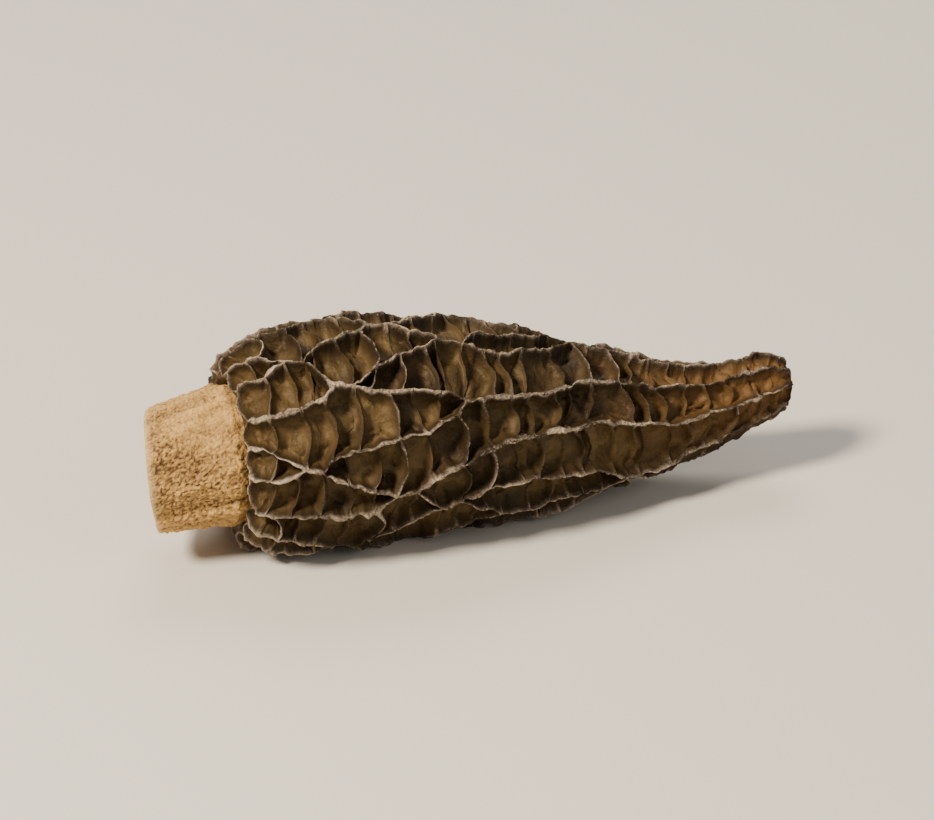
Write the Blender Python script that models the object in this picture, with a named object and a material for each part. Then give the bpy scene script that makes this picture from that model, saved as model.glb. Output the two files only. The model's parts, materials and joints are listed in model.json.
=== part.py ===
"""Dried black morel lying on its side: a hollow cap under a raised net of ribs, and its cut stem.

Run it with blender --background --python part.py, or from Blender's text editor.
The long axis lies along X with the stem at -X, and the underside rests on z = 0.
A place on the cap is worked out as a distance along its outline from the base, an
angle round it (0 on top, a quarter turn on the -Y side) and a height over the ribs.
"""

import bisect
import math
import random

import bmesh
import bpy
from mathutils import Vector

MM = 0.001
TURN = 2 * math.pi

# Driving dimensions of the cap, in mm: its outline as (x, radius) from base to tip
CAP_OUTLINE = [
    (0.0, 9.6),
    (1.2, 12.0),
    (6.0, 13.8),
    (16.0, 14.3),
    (28.0, 13.4),
    (40.0, 11.2),
    (52.0, 8.0),
    (60.0, 5.7),
    (66.0, 4.8),
    (68.6, 4.1),
    (70.4, 2.8),
    (71.0, 1.3),
]
# Height of the middle line over the surface, in mm, as (x, z): the tip lifts a little
MIDDLE_LINE = [
    (-14.0, 11.0),
    (0.0, 12.5),
    (16.0, 13.1),
    (28.0, 12.3),
    (40.0, 10.6),
    (52.0, 9.5),
    (60.0, 9.7),
    (66.0, 10.9),
    (73.0, 12.0),
]
# The hollow inside stem and cap, in mm, as (x, radius), from the cut end to its blind end
HOLLOW_OUTLINE = [
    (-10.0, 6.0),
    (-2.0, 6.9),
    (4.0, 8.0),
    (12.0, 9.3),
    (22.0, 9.2),
    (32.0, 8.1),
    (42.0, 6.2),
    (50.0, 4.2),
    (56.0, 2.6),
    (58.5, 1.1),
]
LINE_STEPS = 12

# The stem outside, from under the cap's rim to the cut end
STEM_TOP_RADIUS = 8.7 * MM
STEM_CUT_RADIUS = 7.4 * MM
STEM_TOP_X = -0.4 * MM
STEM_CUT_X = -9.0 * MM
STEM_TAPER = 0.7
# The groove between the cap's rim and the stem
GROOVE_X = 1.0 * MM
GROOVE_RADIUS = 8.3 * MM
# The cut is oblique: it runs further out on the near side and at the top
CUT_SLANT_Y = 0.27
CUT_SLANT_Z = -0.11
# Lengthwise wrinkles of the stem, broad and fine, as (share of radius, count, place, twist)
BROAD_WRINKLES = (0.022, 5, 0.5, -90)
FINE_WRINKLES = (0.018, 9, 1.3, 120)
# The object's middle in x, measured from the cap's base, becomes the origin
MIDDLE_X = 30.0 * MM

# The net: ribs along the cap, and rows round it where ribs and cross walls meet
RIBS = 18
ROWS = 38
FIRST_ROW_SHARE = 0.65
# Even ribs reach the tip; odd ones end from this row on, and a trough beside each narrows
FIRST_RIB_END = 18
CLOSING_ROWS = 7
CLOSING_BEND = 0.8
# Where two ribs meet for a row: how often, how far off they start to bend, who bends too
FIRST_PINCH_ROW = 5
PINCH_PERIOD = 12.5
PINCH_CLEAR_ROWS = 4
PINCH_REACH = 5.0
PINCH_BEND = 1.2
PINCH_SPREAD = 0.35
# Troughs differ in width, and the whole net sways round the cap
WIDTH_WAVE = 0.15
WIDTH_WAVE_ROWS = 4.3
WIDTH_WAVE_SHIFT = 1.9
SWAY = 0.2
SWAY_ROWS = 8.5
# Each crossing is off its place by up to these shares of a row and of a trough
ROW_PLAY = 0.3
RIB_PLAY = 0.09
# The net relaxes in rounds, in which cross walls pull less than ribs do
SETTLE_ROUNDS = 3
SETTLE_STEP = 0.4
CROSS_PULL = 0.3

# Cross walls: how tall their middles stand, as shares of the pit's depth, and their bow
TALL_WALLS = 0.18
TALL_WALL = (0.75, 0.95)
LOW_WALL = (0.25, 0.5)
RIM_WALL = (0.5, 0.8)
TIP_WALL = 0.9
WALL_BOW = 0.7 * MM

# Pits: their depth, and the section of a rib from its crest to its foot on the floor
PIT_DEPTH = 3.2 * MM
PIT_DEPTH_SHARE = 0.40
BASE_PIT_DEPTH = 1.8 * MM
BASE_PITS_LENGTH = 5.0 * MM
DEPTH_VARIES = (0.88, 1.0)
RIB_HALF_WIDTH = 0.35 * MM
RIB_FOOT_WIDTH = 0.95 * MM
CREST_FALL = 0.12 * MM
CREST_DIP = 0.14
FLOOR_EDGE = 0.86
LEAST_WALL = 0.2 * MM
MOST_CREST_SHARE = 0.3
MOST_FOOT_SHARE = 0.55
LEAST_WAY = 0.1 * MM
TIP_PIT = 0.8 * MM

# The whole body is a little oval and three lobed, and rests flattened on its underside
OVAL = 0.016
OVAL_PLACE = 0.9
OVAL_TWIST = 40
LOBED = 0.010
LOBED_TWIST = 65
UNDERSIDE = 0.97
SETTLE = 0.35 * MM

OUTLINE_STEP = 0.4 * MM
STEM_RINGS = 5
HOLLOW_RINGS = 11
SLANT_FADES = 3
SHARP_ANGLE = math.radians(40)


def draw(low, high, *key):
    """A number between low and high that depends only on the named place."""
    return random.Random(" ".join(map(str, key))).uniform(low, high)


def smooth_line(points):
    """Points in metres on a smooth curve through the given ones in mm."""
    knots = [Vector(point) * MM for point in points]
    ends = [knots[0] * 2 - knots[1], *knots, knots[-1] * 2 - knots[-2]]
    line = []
    for a, b, c, d in zip(ends, ends[1:], ends[2:], ends[3:]):
        for step in range(LINE_STEPS):
            t = step / LINE_STEPS
            bend = (2 * a - 5 * b + 4 * c - d) * t**2 + (3 * b - a - 3 * c + d) * t**3
            line.append((2 * b + (c - a) * t + bend) / 2)
    return [*line, knots[-1]]


def distances(line):
    """The distance of each point of a line from its start, along the line."""
    total = [0.0]
    for before, after in zip(line, line[1:]):
        total.append(total[-1] + (after - before).length)
    return total


def between(keys, values, key):
    """The value at a key, read in a straight line between the nearest two."""
    right = min(max(bisect.bisect_left(keys, key), 1), len(keys) - 1)
    part = (key - keys[right - 1]) / (keys[right] - keys[right - 1])
    part = min(max(part, 0.0), 1.0)
    return values[right - 1] * (1 - part) + values[right] * part


CAP_LINE = smooth_line(CAP_OUTLINE)
CAP_ARCS = distances(CAP_LINE)
CAP_ARC = CAP_ARCS[-1]
MIDDLE = smooth_line(MIDDLE_LINE)
MIDDLE_XS = [point.x for point in MIDDLE]
HOLLOW_LINE = smooth_line(HOLLOW_OUTLINE)
HOLLOW_ARCS = distances(HOLLOW_LINE)


def out_of_round(x, around):
    """The body is a little uneven round its middle line."""
    oval = OVAL * math.sin(2 * around + OVAL_PLACE + OVAL_TWIST * x)
    return 1 + oval + LOBED * math.sin(3 * around - LOBED_TWIST * x)


def body_point(x, around, radius):
    """A point of the lying body; what would sink into the surface is flattened on it."""
    middle = between(MIDDLE_XS, MIDDLE, x).y - SETTLE
    reach = radius * out_of_round(x, around)
    up = reach * math.cos(around)
    if up < 0:
        up *= UNDERSIDE
    return Vector((x - MIDDLE_X, -reach * math.sin(around), max(middle + up, 0.0)))


def cap_place(along):
    """Outline point (x, radius) at a distance along the cap, and the way out of it."""
    here = between(CAP_ARCS, CAP_LINE, along)
    ahead = between(CAP_ARCS, CAP_LINE, min(along + OUTLINE_STEP, CAP_ARC))
    behind = between(CAP_ARCS, CAP_LINE, max(along - OUTLINE_STEP, 0.0))
    run = (ahead - behind).normalized()
    return here, Vector((-run.y, run.x))


def cap_point(along, around, height):
    here, outward = cap_place(along)
    spot = here + outward * height
    return body_point(spot.x, around, spot.y)


def pit_depth(along):
    """Pits are as deep as the cap's girth allows, and shallow at its rim."""
    radius = cap_place(along)[0].y
    grown = min(along / BASE_PITS_LENGTH, 1.0)
    return min(BASE_PIT_DEPTH + (PIT_DEPTH - BASE_PIT_DEPTH) * grown, radius * PIT_DEPTH_SHARE)


def row_along(row):
    """Rows stand closer together near the base than near the tip."""
    share = row / ROWS
    return CAP_ARC * share * (FIRST_ROW_SHARE + (1 - FIRST_ROW_SHARE) * share)


def last_row(rib):
    """Even ribs run all the way to the tip; odd ones run into a neighbour on the way."""
    if rib % 2 == 0:
        return ROWS
    return FIRST_RIB_END + 2 * ((rib * 5 + 3) % RIBS // 2)


def closing_trough(rib):
    """The trough beside an odd rib that narrows to nothing where that rib ends."""
    return random.Random(f"side {rib}").choice((rib - 1, rib))


def odd_rib(trough):
    """Troughs lie in pairs, one on each side of an odd rib."""
    return trough // 2 * 2 + 1


def is_gone(trough, row):
    """True past the row where a trough has closed and shares its neighbour's space."""
    rib = odd_rib(trough)
    return trough == closing_trough(rib) and row > last_row(rib)


def pinch_rows(trough):
    """Rows where the two ribs beside a trough meet for a short way, which makes long pits."""
    first = FIRST_PINCH_ROW + PINCH_PERIOD * (trough * 7 % RIBS) / RIBS
    rows = []
    for turn in range(3):
        row = round(first + PINCH_PERIOD * turn + draw(-1, 1, "pinch", trough, turn))
        clear = abs(row - last_row(odd_rib(trough))) > PINCH_CLEAR_ROWS
        if clear and row < ROWS - PINCH_REACH and not is_gone(trough, row):
            rows.append(row)
    return rows


def joined_rows(trough):
    """Rows where the ribs beside a trough are one: at its pinches and where it closes."""
    rib = odd_rib(trough)
    rows = {row + step for row in pinch_rows(trough) for step in (0, 1)}
    if trough == closing_trough(rib):
        rows.add(last_row(rib))
    return rows


def trough_width(trough, row):
    """A trough's share of the girth at a row, before the shares are made up to a whole turn."""
    if is_gone(trough, row):
        return 0.0
    width = 1 + WIDTH_WAVE * math.sin(row / WIDTH_WAVE_ROWS + WIDTH_WAVE_SHIFT * trough)
    rib = odd_rib(trough)
    if trough == closing_trough(rib):
        width *= min((last_row(rib) - row) / CLOSING_ROWS, 1.0) ** CLOSING_BEND
    return width


def rib_angles(row):
    """The angle of every rib at a row; a rib that has ended lies in the middle of its trough."""
    widths = [TURN * trough_width(trough, row) for trough in range(RIBS)]
    girth = sum(widths) / TURN
    angles = [SWAY * math.sin(row / SWAY_ROWS)]
    for width in widths[:-1]:
        angles.append(angles[-1] + width / girth)
    here = [rib for rib in range(RIBS) if row <= last_row(rib)]
    shifts = [0.0] * RIBS
    for trough in range(RIBS):
        left = here.index(trough if trough in here else trough - 1)
        for pinch in pinch_rows(trough):
            near = 1 - max(abs(row - pinch - 0.5) - 0.5, 0.0) / PINCH_REACH
            push = max(near, 0.0) ** PINCH_BEND * widths[trough] / girth / 2
            for step in range(3):
                shifts[here[left - step]] += push * PINCH_SPREAD**step
                shifts[here[(left + 1 + step) % len(here)]] -= push * PINCH_SPREAD**step
    angles = [angle + shift for angle, shift in zip(angles, shifts)]
    for rib in range(1, RIBS, 2):
        if row > last_row(rib):
            after = angles[rib + 1] if rib + 1 < RIBS else angles[0] + TURN
            angles[rib] = (angles[rib - 1] + after) / 2
    return angles


def wall_rows(trough):
    """Rows of the cross walls in a trough: pits are two or three rows long."""
    rows = []
    row = 0
    joined = joined_rows(trough)
    while True:
        row += random.Random(f"wall {row} {trough}").choice((2, 2, 3))
        if row > ROWS - 2:
            return rows
        if not joined & {row - 1, row, row + 1} and not is_gone(trough, row + 1):
            rows.append(row)


def plan_walls():
    """Every cross edge that stays, as {(row, trough): height share of its middle}."""
    kept = {}
    for trough in range(RIBS):
        rib = odd_rib(trough)
        for row in wall_rows(trough):
            tall = draw(0, 1, "tall", row, trough) < TALL_WALLS
            reach = TALL_WALL if tall else LOW_WALL
            kept[row, trough] = draw(*reach, "wall", row, trough)
            if row > last_row(rib):
                kept[row, closing_trough(rib)] = kept[row, trough]
        for row in joined_rows(trough):
            kept[row, trough] = 1.0
            if row > last_row(rib):
                kept[row, closing_trough(rib)] = 1.0
        kept[0, trough] = draw(*RIM_WALL, "rim", trough)
        kept[ROWS, trough] = TIP_WALL
    return kept


class Layers:
    """The values that each point of the net carries."""

    def __init__(self, bm):
        verts = bm.verts.layers
        self.row = verts.int.new("row")
        self.rib = verts.int.new("rib")
        self.along = verts.float.new("along")
        self.around = verts.float.new("around")
        self.height = verts.float.new("height")


def turn_between(start, end):
    """The signed angle from one direction round the cap to another."""
    return (end - start + math.pi) % TURN - math.pi


def roll_sheet(bm, layers):
    """A flat grid of rows and ribs is rolled up into a tube, open at both ends."""
    bmesh.ops.create_grid(bm, x_segments=ROWS, y_segments=RIBS, size=0.5)
    for vert in bm.verts:
        row = round((vert.co.x + 0.5) * ROWS)
        rib = round((vert.co.y + 0.5) * RIBS) % RIBS
        vert[layers.row] = row
        vert[layers.rib] = rib
        around = TURN * rib / RIBS
        vert.co = (row, RIBS * math.cos(around), RIBS * math.sin(around))
    bmesh.ops.remove_doubles(bm, verts=bm.verts[:], dist=0.01)


def cross_place(edge, layers):
    """(row, trough) of an edge that crosses a trough, or None for one along a rib."""
    a, b = edge.verts
    if a[layers.row] != b[layers.row]:
        return None
    ribs = sorted((a[layers.rib], b[layers.rib]))
    return a[layers.row], ribs[1] if ribs == [0, RIBS - 1] else ribs[0]


def open_pits(bm, layers, kept):
    """Edges that the plan leaves out are dissolved, which joins grid squares into pits."""
    spare = []
    for edge in bm.edges:
        place = cross_place(edge, layers)
        first = min(vert[layers.row] for vert in edge.verts)
        if place and place not in kept:
            spare.append(edge)
        if not place and first >= last_row(edge.verts[0][layers.rib]):
            spare.append(edge)
    bmesh.ops.dissolve_edges(bm, edges=spare, use_verts=False)


def set_points(bm, layers, kept):
    """Puts each crossing of the net in its place."""
    angles = [rib_angles(row) for row in range(ROWS + 1)]
    for vert in bm.verts:
        row, rib = vert[layers.row], vert[layers.rib]
        gap = row_along(row + 1) - row_along(row)
        loose = ROW_PLAY if 0 < row < ROWS else 0.0
        vert[layers.along] = row_along(row) + draw(-loose, loose, "along", row, rib) * gap
        sideways = draw(-RIB_PLAY, RIB_PLAY, "around", row, rib) * TURN / RIBS
        vert[layers.around] = angles[row][rib] + sideways
        on_rib = row <= last_row(rib)
        fall = draw(0.0, CREST_DIP, "crest", row, rib) if on_rib else 1 - kept[row, rib]
        vert[layers.height] = -fall * pit_depth(row_along(row))


def sag_walls(bm, layers, kept):
    """Each cross wall between two ribs gets a point in its middle, where it sags and bows."""
    walls = []
    for edge in bm.edges:
        place = cross_place(edge, layers)
        if place and place[0] < ROWS and place[0] not in joined_rows(place[1]):
            if place[0] <= last_row(odd_rib(place[1])):
                walls.append((edge, place))
    for edge, (row, trough) in walls:
        a, b = edge.verts
        around = a[layers.around] + turn_between(a[layers.around], b[layers.around]) / 2
        along = (a[layers.along] + b[layers.along]) / 2
        made = bmesh.ops.subdivide_edges(bm, edges=[edge], cuts=1)
        middle = next(item for item in made["geom_inner"] if isinstance(item, bmesh.types.BMVert))
        middle[layers.row] = row
        middle[layers.rib] = -1
        middle[layers.around] = around
        middle[layers.along] = along + (WALL_BOW if row > 0 else 0.0)
        middle[layers.height] = (kept[row, trough] - 1) * pit_depth(along)


def join_ribs(bm, layers):
    """Where two ribs meet, their points become one."""
    points = {(vert[layers.row], vert[layers.rib]): vert for vert in bm.verts}
    targets = {}
    for trough in range(RIBS):
        rib = odd_rib(trough)
        for row in joined_rows(trough):
            even = trough if trough < rib else (trough + 1) % RIBS
            targets[points[row, rib]] = points[row, even]
            if row > last_row(rib):
                targets[points[row, (rib + 1) % RIBS]] = points[row, rib - 1]
                targets[points[row, rib]] = points[row, rib - 1]
    bmesh.ops.weld_verts(bm, targetmap=targets)


def settle_net(bm, layers):
    """The net relaxes like a film; ribs pull harder on each other than cross walls do."""
    for _ in range(SETTLE_ROUNDS):
        moves = []
        for vert in bm.verts:
            row = vert[layers.row]
            near = [edge.other_vert(vert) for edge in vert.link_edges]
            pulls = [CROSS_PULL if other[layers.row] == row else 1.0 for other in near]
            along = around = 0.0
            for other, pull in zip(near, pulls):
                along += pull * (other[layers.along] - vert[layers.along])
                around += pull * turn_between(vert[layers.around], other[layers.around])
            moves.append((along / sum(pulls), around / sum(pulls)))
        for vert, (along, around) in zip(bm.verts, moves):
            if 0 < vert[layers.row] < ROWS:
                vert[layers.along] += along * SETTLE_STEP
            vert[layers.around] += around * SETTLE_STEP


def slide_in(vert, layers, centre, distance, most):
    """Slides a point towards the middle of its pit by a real distance on the cap."""
    radius = cap_place(vert[layers.along])[0].y
    along = centre[0] - vert[layers.along]
    turn = turn_between(vert[layers.around], centre[1])
    way = max(math.hypot(along, radius * turn), LEAST_WAY)
    share = min(distance / way, most)
    vert[layers.along] += along * share
    vert[layers.around] += turn * share


def pit_middle(face, layers):
    verts = list(face.verts)
    along = sum(vert[layers.along] for vert in verts) / len(verts)
    start = verts[0][layers.around]
    turn = sum(turn_between(start, vert[layers.around]) for vert in verts) / len(verts)
    return along, start + turn


def sink_pits(bm, layers):
    """Each cell of the net is sunk between its ribs: a narrow crest, walls, and a hollow floor."""
    cells = bmesh.ops.extrude_discrete_faces(bm, faces=bm.faces[:])["faces"]
    pits = [(cell, pit_middle(cell, layers)) for cell in cells]
    for cell, centre in pits:
        for vert in cell.verts:
            slide_in(vert, layers, centre, RIB_HALF_WIDTH, MOST_CREST_SHARE)
            vert[layers.height] -= CREST_FALL
    for cell, centre in pits:
        depth = pit_depth(centre[0]) * draw(*DEPTH_VARIES, "pit", round(centre[0], 5))
        floor = bmesh.ops.extrude_discrete_faces(bm, faces=[cell])["faces"][0]
        for vert in floor.verts:
            slide_in(vert, layers, centre, RIB_FOOT_WIDTH - RIB_HALF_WIDTH, MOST_FOOT_SHARE)
            vert[layers.height] = min(vert[layers.height] - LEAST_WALL, -FLOOR_EDGE * depth)
        middle = bmesh.ops.poke(bm, faces=[floor])["verts"][0]
        middle[layers.along] = centre[0]
        middle[layers.around] = centre[1]
        middle[layers.height] = -depth


def close_tip(bm, layers):
    """The ring of crests round the tip is closed by one small pit."""
    ring = [edge for edge in bm.edges if edge.is_boundary and edge.verts[0][layers.row] == ROWS]
    cell = bmesh.ops.contextual_create(bm, geom=ring)["faces"][0]
    made = bmesh.ops.poke(bm, faces=[cell])
    middle = made["verts"][0]
    middle.co = cap_point(CAP_ARC, 0.0, 0.0)
    middle.co.z = sum(vert.co.z for edge in ring for vert in edge.verts) / (2 * len(ring))
    middle.co.y = 0.0
    middle.co.x -= TIP_PIT


def extrude_ring(bm, edges, place):
    """Extrudes an open ring of edges and puts its new points where place(vert) says."""
    made = bmesh.ops.extrude_edge_only(bm, edges=edges)["geom"]
    for item in made:
        if isinstance(item, bmesh.types.BMVert):
            item.co = place(item)
    return [item for item in made if isinstance(item, bmesh.types.BMEdge) and item.is_boundary]


def cut_x(around, radius):
    """The oblique cut end's x at a place on it."""
    sideways = CUT_SLANT_Y * radius * math.sin(around)
    return STEM_CUT_X - sideways + CUT_SLANT_Z * radius * math.cos(around)


def wrinkle(x, around):
    """The stem's radius with its wrinkles, as a share of the smooth one."""
    share = 1.0
    for height, count, place, twist in (BROAD_WRINKLES, FINE_WRINKLES):
        share += height * math.sin(count * around + place + twist * x)
    return share


def grow_stem(bm, layers):
    """From the cap's rim the skin turns under it, runs down the stem and back up inside."""
    ring = [edge for edge in bm.edges if edge.is_boundary]
    around = layers.around
    ring = extrude_ring(bm, ring, lambda v: body_point(GROOVE_X, v[around], GROOVE_RADIUS))
    for step in range(STEM_RINGS):
        share = step / (STEM_RINGS - 1)
        radius = STEM_TOP_RADIUS + (STEM_CUT_RADIUS - STEM_TOP_RADIUS) * share**STEM_TAPER

        def place(vert, share=share, radius=radius):
            end = cut_x(vert[around], radius)
            x = STEM_TOP_X * (1 - share) + end * share
            return body_point(x, vert[around], radius * wrinkle(x, vert[around]))

        ring = extrude_ring(bm, ring, place)
    for step in range(HOLLOW_RINGS):
        share = step / (HOLLOW_RINGS - 1)
        spot = between(HOLLOW_ARCS, HOLLOW_LINE, HOLLOW_ARCS[-1] * share)

        def place(vert, share=share, spot=spot):
            shift = cut_x(vert[around], spot.y) - HOLLOW_LINE[0].x
            x = spot.x + shift * max(1 - SLANT_FADES * share, 0)
            return body_point(x, vert[around], spot.y)

        ring = extrude_ring(bm, ring, place)
    bmesh.ops.contextual_create(bm, geom=ring)


def dried_cap_material():
    material = bpy.data.materials.new("dried morel cap")
    material.use_nodes = True
    shader = material.node_tree.nodes["Principled BSDF"]
    shader.inputs["Base Color"].default_value = (0.075, 0.052, 0.036, 1)
    shader.inputs["Roughness"].default_value = 0.85
    shader.inputs["Metallic"].default_value = 0
    return material


def make_morel(collection):
    bm = bmesh.new()
    layers = Layers(bm)
    kept = plan_walls()
    roll_sheet(bm, layers)
    open_pits(bm, layers, kept)
    set_points(bm, layers, kept)
    sag_walls(bm, layers, kept)
    join_ribs(bm, layers)
    settle_net(bm, layers)
    sink_pits(bm, layers)
    for vert in bm.verts:
        vert.co = cap_point(vert[layers.along], vert[layers.around], vert[layers.height])
    close_tip(bm, layers)
    grow_stem(bm, layers)
    bmesh.ops.triangulate(bm, faces=bm.faces[:])
    bmesh.ops.recalc_face_normals(bm, faces=bm.faces[:])
    mesh = bpy.data.meshes.new("morel")
    bm.to_mesh(mesh)
    bm.free()
    mesh.shade_smooth()
    mesh.set_sharp_from_angle(angle=SHARP_ANGLE)
    mesh.materials.append(dried_cap_material())
    morel = bpy.data.objects.new("morel", mesh)
    collection.objects.link(morel)


def main():
    for old in list(bpy.data.objects):
        bpy.data.objects.remove(old, do_unlink=True)
    collection = bpy.data.collections.new("dried_black_morel")
    bpy.context.scene.collection.children.link(collection)
    make_morel(collection)


main()
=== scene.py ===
"""Looks of the dried black morel: the fine net of its cap, its mealy stem and its hollow.

Lengths are in mm and angles in radians. A place on the cap is a distance along its outline
from the base, an angle round it (0 on top, a quarter turn on the -Y side) and a height over
the ribs. The net follows the same rules as the part's source, so both have the same ribs,
meetings of ribs and cross walls, and this one adds low walls, rounded pits, folds and
crinkles.
"""

import json
import math
import random
from functools import partial

import bpy
import numpy as np
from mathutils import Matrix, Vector, noise

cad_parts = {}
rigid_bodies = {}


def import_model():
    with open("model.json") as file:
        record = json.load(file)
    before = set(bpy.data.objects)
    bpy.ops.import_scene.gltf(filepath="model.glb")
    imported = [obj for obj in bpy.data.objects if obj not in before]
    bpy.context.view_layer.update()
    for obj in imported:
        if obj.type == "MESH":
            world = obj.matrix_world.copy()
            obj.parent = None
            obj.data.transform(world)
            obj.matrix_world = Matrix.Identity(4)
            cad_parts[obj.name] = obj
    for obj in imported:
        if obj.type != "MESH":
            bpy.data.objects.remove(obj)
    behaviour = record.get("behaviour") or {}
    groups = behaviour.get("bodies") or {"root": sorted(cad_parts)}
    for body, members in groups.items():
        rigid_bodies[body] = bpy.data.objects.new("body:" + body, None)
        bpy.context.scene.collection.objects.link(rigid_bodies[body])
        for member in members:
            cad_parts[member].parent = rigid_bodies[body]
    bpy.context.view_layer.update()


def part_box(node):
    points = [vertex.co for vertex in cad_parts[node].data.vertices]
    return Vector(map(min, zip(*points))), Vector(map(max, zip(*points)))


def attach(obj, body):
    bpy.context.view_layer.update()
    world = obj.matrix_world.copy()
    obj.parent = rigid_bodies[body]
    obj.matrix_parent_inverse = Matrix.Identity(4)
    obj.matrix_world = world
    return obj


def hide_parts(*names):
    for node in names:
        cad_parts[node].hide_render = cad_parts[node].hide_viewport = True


TURN = 2 * math.pi
METRES = 0.001

# Driving dimensions of the body, the same as in the part's source
CAP_OUTLINE = [
    (0.0, 9.6), (1.2, 12.0), (6.0, 13.8), (16.0, 14.3), (28.0, 13.4), (40.0, 11.2),
    (52.0, 8.0), (60.0, 5.7), (66.0, 4.8), (68.6, 4.1), (70.4, 2.8), (71.0, 1.3),
]
MIDDLE_LINE = [
    (-14.0, 11.0), (0.0, 12.5), (16.0, 13.1), (28.0, 12.3), (40.0, 10.6), (52.0, 9.5),
    (60.0, 9.7), (66.0, 10.9), (73.0, 12.0),
]
HOLLOW_OUTLINE = [
    (-10.0, 6.0), (-2.0, 6.9), (4.0, 8.0), (12.0, 9.3), (22.0, 9.2), (32.0, 8.1), (42.0, 6.2),
    (50.0, 4.2), (56.0, 2.6), (58.5, 1.1),
]
LINE_STEPS = 12
STEM_TOP_RADIUS = 8.7
STEM_CUT_RADIUS = 7.4
STEM_TOP_X = -0.4
STEM_CUT_X = -9.0
STEM_TAPER = 0.7
CUT_SLANT_Y = 0.27
CUT_SLANT_Z = -0.11
MIDDLE_X = 30.0
UNDERSIDE = 0.97
SETTLE = 0.35
OUTLINE_STEP = 0.4
# Waves round the body, which make it oval and lobed, and the stem's broad and fine wrinkles, as
# (height, count, place, twist along it)
BODY_WAVES = [(0.016, 2, 0.9, 0.040), (0.010, 3, 0.0, -0.065)]
WRINKLES = [(0.022, 5, 0.5, -0.090), (0.018, 9, 1.3, 0.120)]

# The rules of the net, the same as in the part's source
RIBS = 18
ROWS = 38
FIRST_ROW_SHARE = 0.65
FIRST_RIB_END = 18
CLOSING_ROWS = 7
CLOSING_BEND = 0.8
FIRST_PINCH_ROW = 5
PINCH_PERIOD = 12.5
PINCH_CLEAR_ROWS = 4
PINCH_REACH = 5.0
PINCH_BEND = 1.2
PINCH_SPREAD = 0.35
WIDTH_WAVE = 0.15
WIDTH_WAVE_ROWS = 4.3
WIDTH_WAVE_SHIFT = 1.9
SWAY = 0.2
SWAY_ROWS = 8.5
ROW_PLAY = 0.3
RIB_PLAY = 0.09
SETTLE_ROUNDS = 3
SETTLE_STEP = 0.4
CROSS_PULL = 0.3
TALL_WALLS = 0.18
TALL_WALL = (0.75, 0.95)
LOW_WALL = (0.25, 0.5)
RIM_WALL = (0.5, 0.8)
TIP_WALL = 0.9
SETTLED_BOW = 0.7
PIT_DEPTH = 3.2
PIT_DEPTH_SHARE = 0.40
BASE_PIT_DEPTH = 1.8
BASE_PITS_LENGTH = 5.0
CREST_DIP = 0.14

# The finer net: points about this far apart along ribs, and so many steps across a trough
FINE_STEP = 0.33
CROSS_STEPS = 10
# Cross walls bow further than in the solid, give or take the drift, and less so within so many
# fine rows of where their trough is less wide than this
WALL_BOW = 1.2
WALL_DRIFT = 0.5
WIDE_TROUGH = 4.5
BOW_REACH = 6
# Where two walls stand further apart than the widest gap, lower ones are added between them,
# about a low wall's gap apart, but none where the trough is too narrow
WIDEST_GAP = 3.9
LOW_WALL_GAP = 2.9
LOW_WALL_PLAY = 0.27
LOWEST_WALL = (0.05, 0.35)
NARROWEST = 1.7
# Walls under this share of the ribs' height are low: they rise by another share, tilt, and sag
# with a flatter bottom than tall ones
TALL_SHARE = 0.7
WALL_RISE = (0.0, 0.32)
WALL_TILT = 0.55
TALL_SAG_BEND = (2.0, 3.5)
LOW_SAG_BEND = (5.0, 14.0)
# Points slide along the ribs in long waves, by up to so many fine rows, which slants the walls
# between them, and less so within so many fine rows of where ribs meet
SLIDE = 7.0
SLIDE_SIZE = 14
SLIDE_SHIFT = 7.7
SLIDE_CLEAR = 10
# Smoothing of the fine net, and how hard a wall pulls at the rib that it meets
FINE_ROUNDS = 12
FINE_PULL = 0.5
WALL_PULL = 0.25
# Crinkles of the crests, as (size, sideways, upwards): broad, fine and finest
CRINKLES = [(3.2, 0.42, 0.30), (1.3, 0.36, 0.34), (0.7, 0.20, 0.28)]
# The middles of walls crinkle less by this share
WALL_CALM = 0.5
# The rim is scalloped: the ribs start this far in from it, which fades over this reach, and
# the walls along it rise by this share of what they lack
RIM_SCALLOP = 1.1
RIM_REACH = 1.6
RIM_RISE = 0.7

# Section of a rib: half width of its crest on ribs and on walls, and how that varies
RIB_HALF_WIDTH = 0.27
WALL_HALF_WIDTH = 0.09
LOW_WALL_HALF_WIDTH = 0.12
LOW_WALL_ROUNDING = 1.3
THICKNESS_WAVES = [(6.0, 1.1), (1.1, 1.3)]
THINNEST = 0.35
MOST_CREST_SHARE = 0.35
# Pits count as at least this long and wide, and the way down to their floors as this long
LEAST_SIZE = 0.5
LEAST_WAY = 0.05
# Rings from the crest to the floor. On the crown: share of the half width and drop.
CROWN_RINGS = [(0.6, 0.03), (1.0, 0.13)]
# Then the share of the way that is left to the pit's spine, and of the drop to its floor
PIT_RINGS = [(0.03, 0.17), (0.08, 0.40), (0.18, 0.64), (0.38, 0.86), (0.70, 0.98)]
DEPTH_VARIES = (0.90, 1.03)
FLOOR_WAVES = [(2.2, 0.30), (0.9, 0.12)]
# Blunt folds that run over the floors, as wide as this share of their spacing
FOLD_SPACING = 2.8
FOLD_WIDTH = 0.25
FOLD_HEIGHT = 0.75
# A rib is two skins dried together, and its crest is split along them where a noise, spread
# about its middle, is high
SPLIT_SIZE = 3.0
SPLIT_DEPTH = 0.2
SPLIT_MIDDLE = 0.3
SPLIT_CONTRAST = 2
# The look of a crest fades over so many rings
CREST_RINGS = 2.5
# Points of the cap and of the stem that are closer than this are joined
JOIN_CAP = 1e-4
JOIN_STEM = 1e-3


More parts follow.
